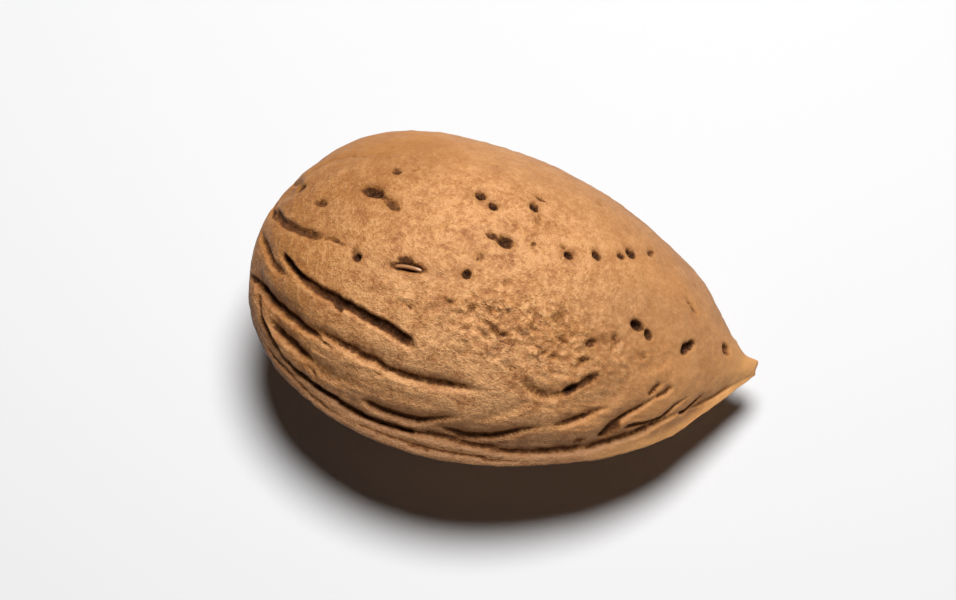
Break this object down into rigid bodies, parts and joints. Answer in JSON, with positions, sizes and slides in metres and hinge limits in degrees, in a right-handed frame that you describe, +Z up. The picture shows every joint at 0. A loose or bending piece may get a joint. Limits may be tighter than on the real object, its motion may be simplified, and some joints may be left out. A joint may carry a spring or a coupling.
{
  "type": "almond in its shell",
  "caption": "Whole almond in its hard shell: teardrop form with a keeled edge, a drawn-out tip, long grooves beside the keel and scattered pits, lying on its belly.",
  "frame": {"origin": "under the middle of the almond's box, on the surface that it lies on", "axes": "+X along the almond to its tip, +Z up, the keel towards -Y"},
  "size_m": [0.035, 0.0242, 0.0161],
  "materials": {
    "shell": "matt, finely grained, darker in the grooves and pits"
  },
  "bodies": {
    "root": {"almond": "shell"}
  },
  "joints": []
}
